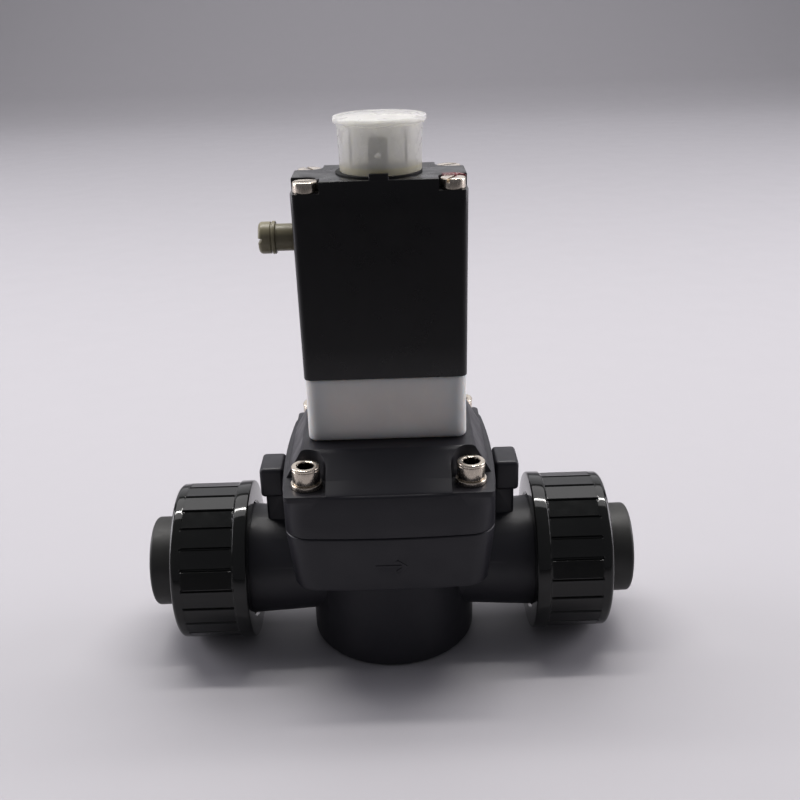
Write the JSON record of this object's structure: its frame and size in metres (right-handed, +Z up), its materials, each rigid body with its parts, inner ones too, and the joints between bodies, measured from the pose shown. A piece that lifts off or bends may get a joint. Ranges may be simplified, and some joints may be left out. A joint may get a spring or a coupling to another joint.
{
  "type": "solenoid valve",
  "caption": "Plastic diaphragm solenoid valve: square bonnet on a round base, boxy coil on top with a dust cap and side override, ribbed union nuts on both pipe ends.",
  "frame": {"origin": "centre of the underside of the round base, on the surface that the valve stands on", "axes": "+Z up through the coil, X along the pipe with +X towards the outlet, front faces -Y"},
  "size_m": [0.178, 0.075, 0.1934],
  "materials": {
    "body_plastic": "satin moulded dark blue-grey PVC",
    "nut_plastic": "glossy black moulding",
    "pilot_plastic": "natural off-white moulding",
    "housing_plastic": "satin near-black moulding",
    "override_plastic": "satin olive-grey moulding",
    "cap_plastic": "translucent milky polyethylene",
    "bobbin_plastic": "natural moulding",
    "rubber": "matt black",
    "steel": "bright stainless",
    "soft_iron": "dull plated iron",
    "brass": "machined",
    "copper": "enamelled copper wire",
    "tinned": "tinned brass"
  },
  "bodies": {
    "valve": {"valve_body": "body_plastic", "bonnet": "body_plastic", "main_diaphragm": "rubber", "closing_spring": "steel", "bonnet_joint_o_ring": "rubber", "left_union_o_ring": "rubber", "right_union_o_ring": "rubber", "bonnet_screw_1": "steel", "bonnet_screw_2": "steel", "bonnet_screw_3": "steel", "bonnet_screw_4": "steel", "bonnet_washer_1": "steel", "bonnet_washer_2": "steel", "bonnet_washer_3": "steel", "bonnet_washer_4": "steel", "threaded_insert_1": "brass", "threaded_insert_2": "brass", "threaded_insert_3": "brass", "threaded_insert_4": "brass", "pilot_body": "pilot_plastic", "rocker_pin": "steel", "separating_diaphragm": "rubber", "control_port_o_ring": "rubber", "return_port_o_ring": "rubber", "coil_housing": "housing_plastic", "housing_screw_1": "steel", "housing_screw_2": "steel", "housing_screw_3": "steel", "housing_screw_4": "steel", "coil_yoke": "soft_iron", "coil_core": "soft_iron", "coil_bobbin": "bobbin_plastic", "coil_winding": "copper", "armature_pin": "steel", "armature_spring": "steel", "earth_contact": "tinned", "left_contact": "tinned", "right_contact": "tinned", "plug_screw_insert": "brass", "plug_gasket": "rubber"},
    "left_union": {"left_union_end": "body_plastic"},
    "left_nut": {"left_union_nut": "nut_plastic"},
    "right_union": {"right_union_end": "body_plastic"},
    "right_nut": {"right_union_nut": "nut_plastic"},
    "diaphragm_core": {"diaphragm_plate": "soft_iron", "diaphragm_clamp": "body_plastic", "diaphragm_bolt": "steel"},
    "rocker": {"pilot_rocker": "bobbin_plastic", "nozzle_pad": "rubber"},
    "armature_lever": {"armature": "soft_iron", "push_rod": "steel"},
    "override": {"manual_override": "override_plastic", "override_o_ring": "rubber"},
    "cap": {"dust_cap": "cap_plastic"}
  },
  "joints": [
    {"name": "left_union_slide", "type": "slide", "parent": "valve", "child": "left_union", "axis": [-1, 0, 0], "range_m": [0, 0.01848]},
    {"name": "left_nut_turn", "type": "hinge", "parent": "left_union", "child": "left_nut", "pos_m": [-0.0654, 0, 0.03], "axis": [-1, 0, 0], "range_deg": [0, 2880]},
    {"name": "right_union_slide", "type": "slide", "parent": "valve", "child": "right_union", "axis": [1, 0, 0], "range_m": [0, 0.01848]},
    {"name": "right_nut_turn", "type": "hinge", "parent": "right_union", "child": "right_nut", "pos_m": [0.0654, 0, 0.03], "axis": [1, 0, 0], "range_deg": [0, 2880]},
    {"name": "override_turn", "type": "hinge", "parent": "valve", "child": "override", "pos_m": [-0.03, 0, 0.1536], "axis": [1, 0, 0], "range_deg": [0, 90]},
    {"name": "armature_tilt", "type": "hinge", "parent": "valve", "child": "armature_lever", "pos_m": [-0.01625, 0, 0.1561], "axis": [0, 1, 0], "range_deg": [0, 2], "deforming": ["armature_spring", "separating_diaphragm"]},
    {"name": "rocker_tilt", "type": "hinge", "parent": "valve", "child": "rocker", "pos_m": [0.006, 0, 0.102], "axis": [0, 1, 0], "range_deg": [0, 7]},
    {"name": "diaphragm_lift", "type": "slide", "parent": "valve", "child": "diaphragm_core", "axis": [0, 0, 1], "range_m": [0, 0.005], "stiffness_N_per_m": 500, "springref_m": -0.003, "deforming": ["closing_spring", "main_diaphragm"]},
    {"name": "dust_cap_lift", "type": "slide", "parent": "valve", "child": "cap", "axis": [0, 0, 1], "range_m": [0, 0.03]}
  ],
  "couplings": [
    {"joint": "left_union_slide", "follows": "left_nut_turn", "m_per_rad": 0.00036749},
    {"joint": "right_union_slide", "follows": "right_nut_turn", "m_per_rad": 0.00036749},
    {"joint": "override_turn", "follows": "armature_tilt", "ratio": 44.999},
    {"joint": "rocker_tilt", "follows": "armature_tilt", "ratio": 3.4999}
  ]
}
